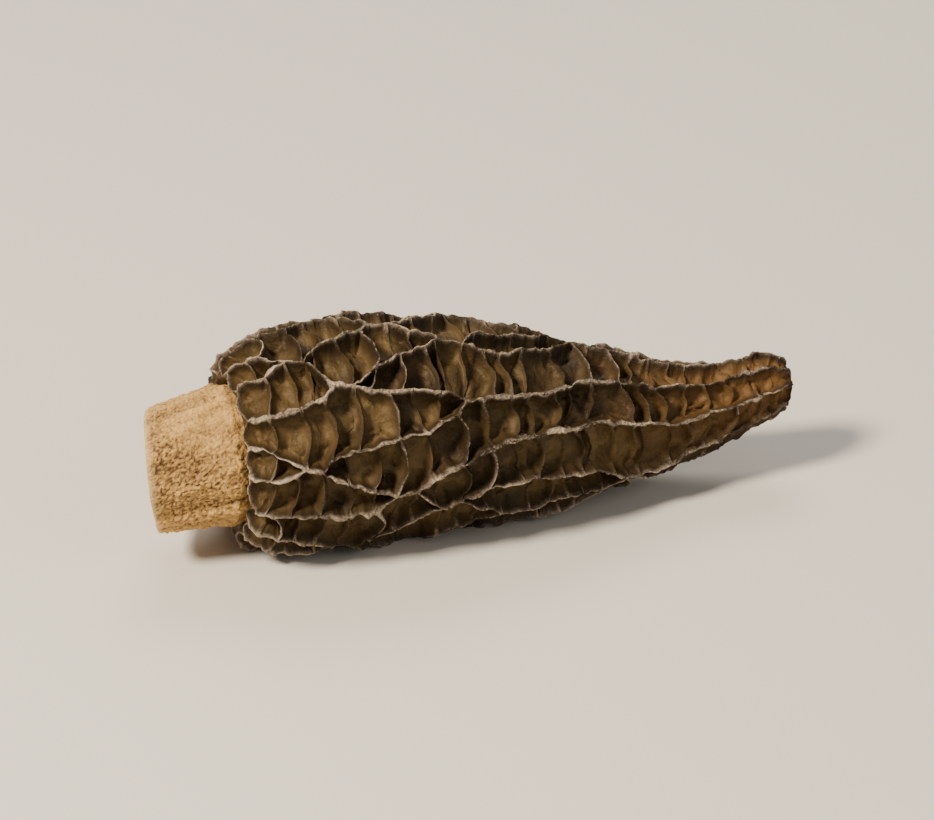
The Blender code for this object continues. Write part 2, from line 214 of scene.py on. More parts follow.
def draw(low, high, *key):
    """A random number between low and high, always the same for the named place."""
    return random.Random(" ".join(map(str, key))).uniform(low, high)


def curve(knots, steps):
    """A smooth curve through the knots, with so many steps from each to the next."""
    ends = np.vstack([2 * knots[0] - knots[1], knots, 2 * knots[-1] - knots[-2]])
    line = []
    for a, b, c, d, count in zip(ends, ends[1:], ends[2:], ends[3:], steps):
        t = (np.arange(count) / count)[:, None]
        bend = (2 * a - 5 * b + 4 * c - d) * t**2 + (3 * b - a - 3 * c + d) * t**3
        line.append((2 * b + (c - a) * t + bend) / 2)
    return np.vstack([*line, knots[-1:]])


class Line:
    """A smooth line through (x, y) points, read at a distance along it or at an x."""

    def __init__(self, points):
        self.points = curve(np.array(points), [LINE_STEPS] * (len(points) - 1))
        steps = np.linalg.norm(np.diff(self.points, axis=0), axis=1)
        self.arcs = np.concatenate([[0], np.cumsum(steps)])
        self.length = self.arcs[-1]

    def at(self, distance):
        return np.stack([np.interp(distance, self.arcs, column) for column in self.points.T], -1)

    def over(self, x):
        return np.interp(x, self.points[:, 0], self.points[:, 1])


CAP = Line(CAP_OUTLINE)
MIDDLE = Line(MIDDLE_LINE)
HOLLOW = Line(HOLLOW_OUTLINE)


def waves(parts, x, around):
    """The radius with waves on it, as a share of the smooth one."""
    share = 1.0
    for height, count, place, twist in parts:
        share = share + height * np.sin(count * around + place + twist * x)
    return share


def body_points(x, around, radius):
    """Points of the lying body; what would sink into the surface is flattened on it."""
    x, around, radius = np.broadcast_arrays(x, around, radius)
    middle = MIDDLE.over(x) - SETTLE
    reach = radius * waves(BODY_WAVES, x, around)
    up = reach * np.cos(around)
    up = np.where(up < 0, up * UNDERSIDE, up)
    return np.stack([x - MIDDLE_X, -reach * np.sin(around), np.maximum(middle + up, 0)], -1)


def cap_points(along, around, height):
    """Points at places on the cap. Deep ones follow its bends less closely, so none fold over."""
    here = CAP.at(along)
    step = OUTLINE_STEP + np.abs(height)
    run = CAP.at(np.minimum(along + step, CAP.length)) - CAP.at(np.maximum(along - step, 0))
    run /= np.linalg.norm(run, axis=-1, keepdims=True)
    x = here[..., 0] - run[..., 1] * height
    return body_points(x, around, here[..., 1] + run[..., 0] * height)


def pit_depth(along):
    """The depth of the pits, which are shallower at the base and where the cap is thin."""
    grown = np.minimum(along / BASE_PITS_LENGTH, 1.0)
    rim = BASE_PIT_DEPTH + (PIT_DEPTH - BASE_PIT_DEPTH) * grown
    return np.minimum(rim, CAP.at(along)[..., 1] * PIT_DEPTH_SHARE)


def turn_between(start, end):
    """The signed angle from one direction round the cap to another."""
    return (end - start + math.pi) % TURN - math.pi


def row_along(row):
    """Rows stand closer together near the base than near the tip."""
    share = row / ROWS
    return CAP.length * share * (FIRST_ROW_SHARE + (1 - FIRST_ROW_SHARE) * share)


def last_row(rib):
    """Even ribs run all the way to the tip; odd ones run into a neighbour on the way."""
    if rib % 2 == 0:
        return ROWS
    return FIRST_RIB_END + 2 * ((rib * 5 + 3) % RIBS // 2)


def closing_trough(rib):
    """The trough beside an odd rib that narrows to nothing where that rib ends."""
    return random.Random(f"side {rib}").choice((rib - 1, rib))


def odd_rib(trough):
    """Troughs lie in pairs, one on each side of an odd rib."""
    return trough // 2 * 2 + 1


def is_gone(trough, row):
    """True past the row where a trough has closed and shares its neighbour's space."""
    rib = odd_rib(trough)
    return trough == closing_trough(rib) and row > last_row(rib)


def pinch_rows(trough):
    """Rows where the two ribs beside a trough meet for a short way, which makes long pits."""
    first = FIRST_PINCH_ROW + PINCH_PERIOD * (trough * 7 % RIBS) / RIBS
    rows = []
    for turn in range(3):
        row = round(first + PINCH_PERIOD * turn + draw(-1, 1, "pinch", trough, turn))
        clear = abs(row - last_row(odd_rib(trough))) > PINCH_CLEAR_ROWS
        if clear and row < ROWS - PINCH_REACH and not is_gone(trough, row):
            rows.append(row)
    return rows


def joined_rows(trough):
    """Rows where the ribs beside a trough are one: at its pinches and where it closes."""
    rib = odd_rib(trough)
    rows = {row + step for row in pinch_rows(trough) for step in (0, 1)}
    if trough == closing_trough(rib):
        rows.add(last_row(rib))
    return rows


def trough_width(trough, row):
    """A trough's share of the girth at a row, before the shares are made up to a whole turn."""
    if is_gone(trough, row):
        return 0.0
    width = 1 + WIDTH_WAVE * math.sin(row / WIDTH_WAVE_ROWS + WIDTH_WAVE_SHIFT * trough)
    rib = odd_rib(trough)
    if trough == closing_trough(rib):
        width *= min((last_row(rib) - row) / CLOSING_ROWS, 1.0) ** CLOSING_BEND
    return width


def rib_angles(row):
    """The angle of every rib at a row; a rib that has ended lies in the middle of its trough."""
    widths = [TURN * trough_width(trough, row) for trough in range(RIBS)]
    girth = sum(widths) / TURN
    angles = [SWAY * math.sin(row / SWAY_ROWS)]
    for width in widths[:-1]:
        angles.append(angles[-1] + width / girth)
    here = [rib for rib in range(RIBS) if row <= last_row(rib)]
    shifts = [0.0] * RIBS
    for trough in range(RIBS):
        left = here.index(trough if trough in here else trough - 1)
        for pinch in pinch_rows(trough):
            near = 1 - max(abs(row - pinch - 0.5) - 0.5, 0.0) / PINCH_REACH
            push = max(near, 0.0) ** PINCH_BEND * widths[trough] / girth / 2
            for step in range(3):
                shifts[here[left - step]] += push * PINCH_SPREAD**step
                shifts[here[(left + 1 + step) % len(here)]] -= push * PINCH_SPREAD**step
    angles = [angle + shift for angle, shift in zip(angles, shifts)]
    for rib in range(1, RIBS, 2):
        if row > last_row(rib):
            after = angles[rib + 1] if rib + 1 < RIBS else angles[0] + TURN
            angles[rib] = (angles[rib - 1] + after) / 2
    return angles


def wall_rows(trough):
    """Rows of the cross walls in a trough: pits are two or three rows long."""
    rows = []
    row = 0
    joined = joined_rows(trough)
    while True:
        row += random.Random(f"wall {row} {trough}").choice((2, 2, 3))
        if row > ROWS - 2:
            return rows
        if not joined & {row - 1, row, row + 1} and not is_gone(trough, row + 1):
            rows.append(row)


def plan_walls():
    """Every cross edge that stays, as {(row, trough): height share of its middle}."""
    kept = {}
    for trough in range(RIBS):
        rib = odd_rib(trough)
        for row in wall_rows(trough):
            tall = draw(0, 1, "tall", row, trough) < TALL_WALLS
            reach = TALL_WALL if tall else LOW_WALL
            kept[row, trough] = draw(*reach, "wall", row, trough)
            if row > last_row(rib):
                kept[row, closing_trough(rib)] = kept[row, trough]
        for row in joined_rows(trough):
            kept[row, trough] = 1.0
            if row > last_row(rib):
                kept[row, closing_trough(rib)] = 1.0
        kept[0, trough] = draw(*RIM_WALL, "rim", trough)
        kept[ROWS, trough] = TIP_WALL
    return kept


def joined_points():
    """Where two ribs meet, the crossing that stands for another one: {crossing: its stand-in}."""
    same = {}
    for trough in range(RIBS):
        rib = odd_rib(trough)
        for row in joined_rows(trough):
            if row > last_row(rib):
                same[row, (rib + 1) % RIBS] = (row, rib - 1)
                same[row, rib] = (row, rib - 1)
            else:
                same[row, rib] = (row, trough if trough < rib else (trough + 1) % RIBS)
    return same


def place_crossings(kept):
    """Crossings before they settle: {(row, rib): (along, around, height)}, and with half a
    trough added for the middle of a cross wall."""
    angles = [rib_angles(row) for row in range(ROWS + 1)]
    spots = {}
    for row, rib in np.ndindex(ROWS + 1, RIBS):
        on_rib = row <= last_row(rib)
        if not on_rib and (row, rib) not in kept:
            continue
        gap = row_along(row + 1) - row_along(row)
        loose = ROW_PLAY if 0 < row < ROWS else 0.0
        along = row_along(row) + draw(-loose, loose, "along", row, rib) * gap
        sideways = draw(-RIB_PLAY, RIB_PLAY, "around", row, rib) * TURN / RIBS
        fall = draw(0.0, CREST_DIP, "crest", row, rib) if on_rib else 1 - kept[row, rib]
        height = -fall * pit_depth(row_along(row))
        spots[row, rib] = np.array([along, angles[row][rib] + sideways, height])
    for (row, trough), tall in kept.items():
        if row < ROWS and row not in joined_rows(trough) and row <= last_row(odd_rib(trough)):
            a, b = spots[row, trough], spots[row, (trough + 1) % RIBS]
            along = (a[0] + b[0]) / 2
            around = a[1] + turn_between(a[1], b[1]) / 2
            bow = SETTLED_BOW if row > 0 else 0.0
            fall = (1 - tall) * pit_depth(along)
            spots[row, trough + 0.5] = np.array([along + bow, around, -fall])
    return spots


def settle(spots, kept):
    """The net relaxes like a film, as the solid's does."""
    same = joined_points()
    links = {key: set() for key in spots}
    pairs = [((row, rib), (row + 1, rib)) for rib in range(RIBS) for row in range(last_row(rib))]
    for row, trough in kept:
        ends = [(row, trough), (row, (trough + 1) % RIBS)]
        if (row, trough + 0.5) in spots:
            pairs += [(ends[0], (row, trough + 0.5)), ((row, trough + 0.5), ends[1])]
        else:
            pairs.append(tuple(ends))
    for a, b in pairs:
        a, b = same.get(a, a), same.get(b, b)
        if a != b:
            links[a].add(b)
            links[b].add(a)
    for _ in range(SETTLE_ROUNDS):
        moved = {}
        for key, near in links.items():
            if not near:
                continue
            pulls = np.array([CROSS_PULL if other[0] == key[0] else 1.0 for other in near])
            steps = np.array([spots[other] - spots[key] for other in near])
            steps[:, 1] = turn_between(0.0, steps[:, 1])
            step = SETTLE_STEP * (pulls @ steps) / pulls.sum()
            step[2] = 0.0
            if key[0] in (0, ROWS):
                step[0] = 0.0
            moved[key] = spots[key] + step
        spots.update(moved)
    for key, stand_in in same.items():
        spots[key] = spots[stand_in]


def fine_rows():
    """The fine row at which each row lies."""
    fine = [0]
    for row in range(ROWS):
        fine.append(fine[-1] + round((row_along(row + 1) - row_along(row)) / FINE_STEP))
    return fine


FINE = fine_rows()
LAST = FINE[-1]


def rib_owners():
    """Which rib's line each rib follows at each fine row: its own, or that of the one it met."""
    owners = np.repeat(np.arange(RIBS)[:, None], LAST + 1, axis=1)
    for trough in range(RIBS):
        rib = odd_rib(trough)
        even = trough if trough < rib else (trough + 1) % RIBS
        for row in pinch_rows(trough):
            met = slice(FINE[row], FINE[row + 1] + 1)
            if row > last_row(rib):
                owners[(rib + 1) % RIBS, met] = rib - 1
            else:
                owners[rib, met] = even
        if trough == closing_trough(rib):
            owners[rib, FINE[last_row(rib)] :] = even
    rows = np.arange(LAST + 1)
    return owners[owners, rows]


class Net:
    """The fine net: its points, their links, and the pits between them."""

    def __init__(self):
        self.kept = plan_walls()
        self.spots = place_crossings(self.kept)
        settle(self.spots, self.kept)
        self.owners = rib_owners()
        self.ids, self.places, self.wall, self.low = {}, [], [], []
        self.links, self.pits = [], []
        self.stops = [self.plan_stops(trough) for trough in range(RIBS)]
        self.add_ribs()
        for trough in range(RIBS):
            self.add_low_walls(trough)
            self.add_walls(trough)
            self.pits += [(trough, *pair) for pair in self.openings(trough)]
        self.places, self.wall, self.low = map(np.array, (self.places, self.wall, self.low))
        self.smooth()

    def plan_stops(self, trough):
        """{fine row: the row of the wall there, or None where the ribs are one}"""
        stops = {}
        for row in range(ROWS + 1):
            if (row, trough) in self.kept and not is_gone(trough, row):
                stops[FINE[row]] = None if row in joined_rows(trough) else row
        return stops

    def add(self, key, place, wall, low=0.0):
        self.ids[key] = len(self.places)
        self.places.append(place)
        self.wall.append(wall)
        self.low.append(low)
        return self.ids[key]

    def slide(self, rib, count):
        """How far each point of a rib slides along it, in fine rows; not where ribs meet."""
        fine = np.arange(count)
        shift = rib * SLIDE_SHIFT
        wave = [noise.noise(Vector((place / SLIDE_SIZE, shift, 0.0))) for place in fine]
        fixed = [0, count - 1]
        for trough in range(rib - 2, rib + 2):
            fixed += [FINE[row] for row in joined_rows(trough % RIBS)]
        clear = np.abs(fine[:, None] - np.array(fixed)).min(axis=1) / SLIDE_CLEAR
        return fine + SLIDE * np.array(wave) * np.minimum(clear, 1.0)

    def rib_id(self, rib, fine):
        rib = rib % RIBS
        return self.ids[self.owners[rib, fine], fine]

    def add_ribs(self):
        for rib in range(RIBS):
            knots = np.array([self.spots[row, rib] for row in range(last_row(rib) + 1)])
            knots[:, 1] = np.unwrap(knots[:, 1])
            line = curve(knots, np.diff(FINE[: len(knots)]))
            fine = np.arange(len(line))
            slid = self.slide(rib, len(line))
            line = np.stack([np.interp(slid, fine, column) for column in line.T], -1)
            line[:, 0] += RIM_SCALLOP * np.exp(-line[:, 0] / RIM_REACH)
            for fine, place in enumerate(line):
                if self.owners[rib, fine] == rib:
                    self.add((rib, fine), place, 0.0)
        for rib in range(RIBS):
            for fine in range(FINE[last_row(rib)]):
                a, b = self.rib_id(rib, fine), self.rib_id(rib, fine + 1)
                if (a, b) not in self.links:
                    self.links.append((a, b))

    def sides(self, trough, fine):
        """The places on the two ribs beside a trough, the second turned next to the first."""
        a = self.places[self.rib_id(trough, fine)]
        b = self.places[self.rib_id(trough + 1, fine)].copy()
        b[1] = a[1] + turn_between(a[1], b[1])
        return a, b

    def width(self, trough, fine):
        a, b = self.sides(trough, fine)
        return abs(b[1] - a[1]) * CAP.at(a[0])[1]

    def add_low_walls(self, trough):
        """Low walls stand between walls that are far apart, each with its share of the height."""
        for low, high in self.openings(trough):
            gap = self.sides(trough, high)[0][0] - self.sides(trough, low)[0][0]
            if gap < WIDEST_GAP:
                continue
            count = round(gap / LOW_WALL_GAP)
            for step in range(1, count):
                play = draw(-LOW_WALL_PLAY, LOW_WALL_PLAY, "low", trough, low, step - 1)
                fine = round(low + (high - low) * ((step + play) / count))
                if self.width(trough, fine) > NARROWEST:
                    self.stops[trough][fine] = draw(*LOWEST_WALL, "lowest", trough, fine)

    def openings(self, trough):
        """Pairs of neighbouring stops in a trough, but not those between which its ribs are one."""
        rows = sorted(self.stops[trough])
        pinched = [(FINE[row], FINE[row + 1]) for row in pinch_rows(trough)]
        return [pair for pair in zip(rows, rows[1:]) if pair not in pinched]

    def add_walls(self, trough):
        for fine, row in self.stops[trough].items():
            if row is None:
                continue
            a, b = self.sides(trough, fine)
            middle = (a + b) / 2
            tall = row if isinstance(row, float) else self.kept[row, trough]
            is_low = tall < TALL_SHARE and 0 < fine < LAST
            if is_low:
                tall += draw(*WALL_RISE, "rise", trough, fine)
            if fine == 0:
                tall += (1 - tall) * RIM_RISE
            off = np.array([0.0, 0.0, (tall - 1) * pit_depth(middle[0]) - middle[2]])
            if 0 < fine < LAST:
                near = (max(fine - BOW_REACH, 0), fine, min(fine + BOW_REACH, LAST))
                wide = min(1.0, *(self.width(trough, place) / WIDE_TROUGH for place in near))
                off[0] = wide * (WALL_BOW + draw(-WALL_DRIFT, WALL_DRIFT, "drift", trough, fine))
            elif fine == 0:
                off[0] = -middle[0]
            bend = draw(*(LOW_SAG_BEND if is_low else TALL_SAG_BEND), "sag", trough, fine)
            tilt = draw(-WALL_TILT, WALL_TILT, "tilt", trough, fine) if is_low else 0.0
            before = self.rib_id(trough, fine)
            for step in range(1, CROSS_STEPS):
                share = step / CROSS_STEPS
                side = abs(2 * share - 1)
                place = a + (b - a) * share
                place[0] += off[0] * (1 - side**2)
                place[2] += off[2] * (1 - side**bend) * (1 + tilt * (2 * share - 1))
                here = self.add((trough, fine, step), place, 1 - side**2, float(is_low))
                self.links.append((before, here))
                before = here
            self.links.append((before, self.rib_id(trough + 1, fine)))

    def smooth(self):
        """Ribs and walls run in soft curves, and ribs bend towards the walls that they meet."""
        links = np.array(self.links)
        ends = np.vstack([links, links[:, ::-1]])
        on_wall = self.wall[ends] > 0
        pulls = np.where(on_wall[:, 1] & ~on_wall[:, 0], WALL_PULL, 1.0)
        total = np.bincount(ends[:, 0], pulls, len(self.places))
        rows = np.array([key[1] for key in self.ids])
        free = (rows > 0) & (rows < LAST)
        for _ in range(FINE_ROUNDS):
            steps = self.places[ends[:, 1]] - self.places[ends[:, 0]]
            steps[:, 1] = turn_between(0.0, steps[:, 1])
            for axis in (0, 1):
                pull = np.bincount(ends[:, 0], pulls * steps[:, axis], len(self.places)) / total
                moves = free if axis == 0 else np.ones(len(self.places))
                self.places[:, axis] += FINE_PULL * pull * moves


# Seeds of the noise that shapes each thing, and how far apart two seeds are in it
CAP_SEEDS = {"crinkle": 0, "floor": 20, "fold": 24, "split": 30, "thickness": 40, "pit": 50}
STEM_SEEDS = {"grain": 41, "lump": 42, "furrow": 43, "calm": 44}
SEEDS = CAP_SEEDS | STEM_SEEDS
SEED_SHIFT = (17.3, 5.1, 9.7)


def noise_at(points, size, name, step=0):
    """Smooth noise with features of a size, from -1 to 1, at each point."""
    shift = Vector([(SEEDS[name] + step) * part for part in SEED_SHIFT])
    return np.array([noise.noise(Vector(point) / size + shift) for point in points])


def crinkle(net):
    """How far each point of the net is off its soft curve: (along, sideways, upwards)."""
    points = cap_points(*net.places.T)
    off = np.zeros_like(net.places)
    calm = 1 - WALL_CALM * net.wall
    for wave, (size, sideways, upwards) in enumerate(CRINKLES):
        for axis, reach in enumerate((sideways, sideways, upwards)):
            off[:, axis] += reach * calm * noise_at(points, size, "crinkle", 3 * wave + axis)
    return off


class Pit:
    """A pit between two ribs and two walls, read at shares across and along it."""

    def __init__(self, net, trough, low, high):
        rows = range(low, high + 1)
        left, right = ([net.rib_id(rib, fine) for fine in rows] for rib in (trough, trough + 1))
        first = self.end(net, trough, low, left[0], right[0])
        second = self.end(net, trough, high, left[-1], right[-1])
        self.trough = trough
        self.start = net.places[left[0], 1]
        self.left = self.flat(net, left)
        self.right = self.flat(net, right)
        self.walls = [self.flat(net, first), self.flat(net, second)]
        shares = np.linspace(0, 1, high - low + 1)
        across = np.linspace(0, 1, CROSS_STEPS + 1)
        border = {spot: (0.0, share) for spot, share in zip(left, shares)}
        border.update({spot: (1.0, share) for spot, share in zip(right, shares)})
        border.update({spot: (share, 0.0) for spot, share in zip(first, across)})
        border.update({spot: (share, 1.0) for spot, share in zip(second, across)})
        self.border = np.array(list(border))
        self.shares = np.array(list(border.values()))
        along = (self.left[:, 0].mean() + self.right[:, 0].mean()) / 2
        self.radius = CAP.at(along)[1]
        self.depth = pit_depth(along) * draw(*DEPTH_VARIES, "depth", trough, low)

    def end(self, net, trough, fine, left, right):
        """The points of the wall at an end of the pit, or the one point where its ribs meet."""
        if (trough, fine, 1) in net.ids:
            steps = range(1, CROSS_STEPS)
            return [left, *[net.ids[trough, fine, step] for step in steps], right]
        return [left] * (CROSS_STEPS + 1)

    def flat(self, net, spots):
        """(along, around) of points of the net, turned next to the pit's first corner."""
        places = net.places[spots][:, :2].copy()
        places[:, 1] = self.start + turn_between(self.start, places[:, 1])
        return places

    def inside(self, across, up):
        """(along, around) at shares across and along the pit, blended from its four sides."""
        across, up = across[:, None], up[:, None]
        rows = np.linspace(0, 1, len(self.left))
        steps = np.linspace(0, 1, CROSS_STEPS + 1)
        left, right, first, second = (
            np.hstack([np.interp(share, knots, side[:, axis]) for axis in (0, 1)])
            for share, knots, side in (
                (up, rows, self.left),
                (up, rows, self.right),
                (across, steps, self.walls[0]),
                (across, steps, self.walls[1]),
            )
        )
        corners = (1 - up) * ((1 - across) * self.left[0] + across * self.right[0])
        corners += up * ((1 - across) * self.left[-1] + across * self.right[-1])
        return (1 - up) * first + up * second + (1 - across) * left + across * right - corners

    def spine(self):
        """For each border point, the shares of the nearest place on the pit's spine."""
        length = (self.left[-1, 0] + self.right[-1, 0] - self.left[0, 0] - self.right[0, 0]) / 2
        width = np.abs(self.right[:, 1] - self.left[:, 1]).max() * self.radius
        half = np.maximum([width, length], LEAST_SIZE) / 2
        reach = half - half.min()
        spot = np.clip((2 * self.shares - 1) * half, -reach, reach)
        return (spot / half + 1) / 2

    def rings(self, net, off):
        """Rings of places from the crest to the pit's spine, each with its share of the fall."""
        spine = self.spine()
        way = self.inside(*spine.T) - self.inside(*self.shares.T)
        way = np.hypot(way[:, 0], way[:, 1] * self.radius)
        wall, low = net.wall[self.border], net.low[self.border]
        points = cap_points(*net.places[self.border].T)
        thick = 1.0
        for (size, share), key in zip(THICKNESS_WAVES, (("thickness", 0), ("pit", self.trough))):
            thick = thick + share * noise_at(points, size, *key)
        thin = WALL_HALF_WIDTH + (LOW_WALL_HALF_WIDTH - WALL_HALF_WIDTH) * low
        half = RIB_HALF_WIDTH + (thin - RIB_HALF_WIDTH) * np.sqrt(wall)
        half = np.minimum(half * np.maximum(thick, THINNEST), MOST_CREST_SHARE * way)
        crest = net.places[self.border, 2] + off[self.border, 2]
        rounding = 1 + (LOW_WALL_ROUNDING - 1) * low * wall
        steps = [(half * share, drop, 0.0) for share, drop in CROWN_RINGS]
        drop = CROWN_RINGS[-1][1]
        steps += [(half + (way - half) * share, drop, fall) for share, fall in PIT_RINGS]
        rings = []
        for lateral, drop, fall in steps:
            part = (lateral / np.maximum(way, LEAST_WAY))[:, None]
            places = self.inside(*(self.shares + (spine - self.shares) * part).T)
            calm = (1 - part[:, 0]) ** 2
            places[:, 0] += off[self.border, 0] * calm
            places[:, 1] += off[self.border, 1] * calm / self.radius
            height = (crest - drop * rounding) * (1 - fall) - self.depth * fall
            rings.append(np.column_stack([places, height, np.full(len(height), fall)]))
        return np.array(rings)


# What can be selected, in the order of the select modes
KINDS = ("vertices", "edges", "polygons")


def select(mesh, kind, chosen):
    """Selects only the chosen items of a kind."""
    for name in KINDS:
        items = getattr(mesh, name)
        items.foreach_set("select", chosen if name == kind else np.zeros(len(items), bool))


def edit(kind, *steps):
    """Runs operators in edit mode, with the select mode for a kind."""
    bpy.context.tool_settings.mesh_select_mode = [kind == name for name in KINDS]
    bpy.ops.object.mode_set(mode="EDIT")
    for step in steps:
        step()
    bpy.ops.object.mode_set(mode="OBJECT")


def read(items, name, kind=float, width=1):
    """A property of all items as an array, one row for each where it has several numbers."""
    values = np.zeros(len(items) * width, kind)
    items.foreach_get(name, values)
    return values.reshape(-1, width) if width > 1 else values


def stored(mesh, name, kind=float):
    """The values that the mesh's points or faces have under a name."""
    return read(mesh.attributes[name].data, "value", kind)


def store(mesh, name, values, domain="POINT"):
    """Gives each point or face of the mesh its value under a name, for a later step to read."""
    kind, number = ("INT", np.int32) if values.dtype.kind == "i" else ("FLOAT", np.float32)
    layer = mesh.attributes.get(name) or mesh.attributes.new(name, kind, domain)
    layer.data.foreach_set("value", values.astype(number))


def set_places(mesh, points, chosen=slice(None)):
    """Puts the mesh's points, or the chosen ones, at places given in mm."""
    places = read(mesh.vertices, "co", width=3)
    places[chosen] = points * METRES
    mesh.vertices.foreach_set("co", places.ravel())
    mesh.update()


def mark(mesh, name, chosen, value):
    """Changes the value that the chosen points have under a name."""
    values = stored(mesh, name, type(value))
    values[chosen] = value
    store(mesh, name, values)


def face_count(mesh):
    """How many faces each edge has."""
    return np.bincount(read(mesh.loops, "edge_index", int), minlength=len(mesh.edges))


def join_doubles(distance, *then):
    """Merges the points of the whole mesh that coincide."""
    edit(
        "vertices",
        lambda: bpy.ops.mesh.select_all(action="SELECT"),
        lambda: bpy.ops.mesh.remove_doubles(threshold=distance * METRES),
        *then,
    )


def rolled_grid(name, rows, columns):
    """A flat grid as a new object, with the row and the column of each of its points."""
    bpy.ops.object.select_all(action="DESELECT")
    bpy.ops.mesh.primitive_grid_add(x_subdivisions=rows, y_subdivisions=columns, size=2)
    sheet = bpy.context.active_object
    sheet.name = sheet.data.name = name
    points = (read(sheet.data.vertices, "co", width=3) + 1) / 2
    row = np.rint(points[:, 0] * rows).astype(int)
    column = np.rint(points[:, 1] * columns).astype(int)
    return sheet, row, column


def spot_grid(net):
    """The point of the net at each row and column of the grid, or -1 inside a pit."""
    spots = np.full((LAST + 1, RIBS * CROSS_STEPS + 1), -1)
    for fine, column in np.ndindex(spots.shape):
        trough, step = divmod(column, CROSS_STEPS)
        if step == 0 or net.stops[trough].get(fine, 0) is None:
            spots[fine, column] = net.rib_id(trough, fine)
        else:
            spots[fine, column] = net.ids.get((trough, fine, step), -1)
    return spots


def pit_grid(net):
    """The pit that each trough has at each fine row, or -1 where its ribs are one."""
    pits = np.full((LAST, RIBS), -1)
    for index, (trough, low, high) in enumerate(net.pits):
        pits[low:high, trough] = index
    return pits


def lay_net(net):
    """A grid of the fine rows loses what lies inside the pits, so each pit is one face."""
    cap, row, column = rolled_grid("cap", LAST, RIBS * CROSS_STEPS)
    mesh = cap.data
    store(mesh, "spot", spot_grid(net)[row, column])
    corners = read(mesh.loops, "vertex_index", int).reshape(-1, 4)
    trough = column[corners].min(axis=1) // CROSS_STEPS
    pits = pit_grid(net)[row[corners].min(axis=1), trough]
    store(mesh, "pit_face", pits, "FACE")
    select(mesh, "polygons", pits < 0)
    edit("polygons", lambda: bpy.ops.mesh.delete(type="FACE"))
    edges = read(mesh.loops, "edge_index", int)
    pits = np.repeat(stored(mesh, "pit_face", int), 4)
    low = np.full(len(mesh.edges), len(net.pits))
    high = np.full(len(mesh.edges), -1)
    np.minimum.at(low, edges, pits)
    np.maximum.at(high, edges, pits)
    select(mesh, "edges", (face_count(mesh) == 2) & (low == high))
    edit(
        "edges",
        lambda: bpy.ops.mesh.dissolve_edges(use_verts=False),
        lambda: bpy.ops.mesh.delete_loose(use_verts=True, use_edges=False, use_faces=False),
    )
    return cap


def sink_pits(cap, net):
    """The grid is rolled up and joined, and every pit's face is extruded ring by ring."""
    mesh = cap.data
    off = crinkle(net)
    radius = CAP.at(net.places[:, 0])[:, 1]
    places = np.column_stack([off[:, 0], off[:, 1] / radius, off[:, 2]]) + net.places
    set_places(mesh, cap_points(*places[stored(mesh, "spot", int)].T))
    join_doubles(JOIN_CAP)
    for name in ("ring", "pit"):
        store(mesh, name, np.zeros(len(mesh.vertices), int))
    select(mesh, "polygons", np.ones(len(mesh.polygons), bool))
    for ring in range(1, len(CROWN_RINGS) + len(PIT_RINGS) + 1):
        edit("polygons", bpy.ops.mesh.extrude_faces_indiv)
        mark(mesh, "ring", read(mesh.vertices, "select", bool), ring)
        if ring == 1:
            pits = stored(mesh, "pit_face", int)
            values = stored(mesh, "pit", int)
            for face in np.flatnonzero(read(mesh.polygons, "select", bool)):
                values[list(mesh.polygons[face].vertices)] = pits[face]
            store(mesh, "pit", values)
    return off, places


def place_rings(cap, net, off, places):
    """Puts the points of all rings in place, and keeps what the material reads."""
    mesh = cap.data
    spots, ring, pit = (stored(mesh, name, int) for name in ("spot", "ring", "pit"))
    spot_place = np.zeros((len(mesh.vertices), 4))
    spot_place[:, :3] = places[spots]
    for index, key in enumerate(net.pits):
        members = np.flatnonzero((pit == index) & (ring > 0))
        hole = Pit(net, *key)
        column = {spot: at for at, spot in enumerate(hole.border)}
        columns = [column[spot] for spot in spots[members]]
        spot_place[members] = hole.rings(net, off)[ring[members] - 1, columns]
    sunk = ring > len(CROWN_RINGS)
    points = cap_points(*spot_place[sunk, :3].T)
    for wave, (size, reach) in enumerate(FLOOR_WAVES):
        rise = reach * noise_at(points, size, "floor", wave)
        spot_place[sunk, 2] += rise * spot_place[sunk, 3]
    fold = np.maximum(1 - (noise_at(points, FOLD_SPACING, "fold") / FOLD_WIDTH) ** 2, 0) ** 2
    spot_place[sunk, 2] += FOLD_HEIGHT * fold * spot_place[sunk, 3]
    split = SPLIT_MIDDLE + SPLIT_CONTRAST * noise_at(cap_points(*places.T), SPLIT_SIZE, "split")
    split = np.clip(split, 0, 1) * (SPLIT_DEPTH * (1 - net.wall))
    spot_place[ring == 0, 2] -= split[spots[ring == 0]]
    set_places(mesh, cap_points(*spot_place[:, :3].T))
    select(mesh, "polygons", read(mesh.polygons, "loop_total", int) > 4)
    edit("polygons", lambda: bpy.ops.mesh.quads_convert_to_tris(ngon_method="BEAUTY"))
    tones = np.array([draw(0, 1, "tone", *key) for key in net.pits])
    store(mesh, "tone", tones[pit])
    store(mesh, "deep", np.clip(-spot_place[:, 2] / pit_depth(spot_place[:, 0]), 0, 1))
    store(mesh, "crest", np.clip(1 - (ring - 1) / CREST_RINGS, 0, 1))
    store(mesh, "low", net.low[spots])
    store(mesh, "length", spot_place[:, 0] / CAP.length)
    store(mesh, "around", spot_place[:, 1])


def select_open_crest(mesh, low, high):
    """Selects the crests' open edges between two shares of the cap's length."""
    length = stored(mesh, "length")
    ends = (stored(mesh, "ring", int) == 0) & (length > low) & (length < high)
    ends = ends[read(mesh.edges, "vertices", int, 2)].all(axis=1)
    select(mesh, "edges", (face_count(mesh) == 1) & ends)


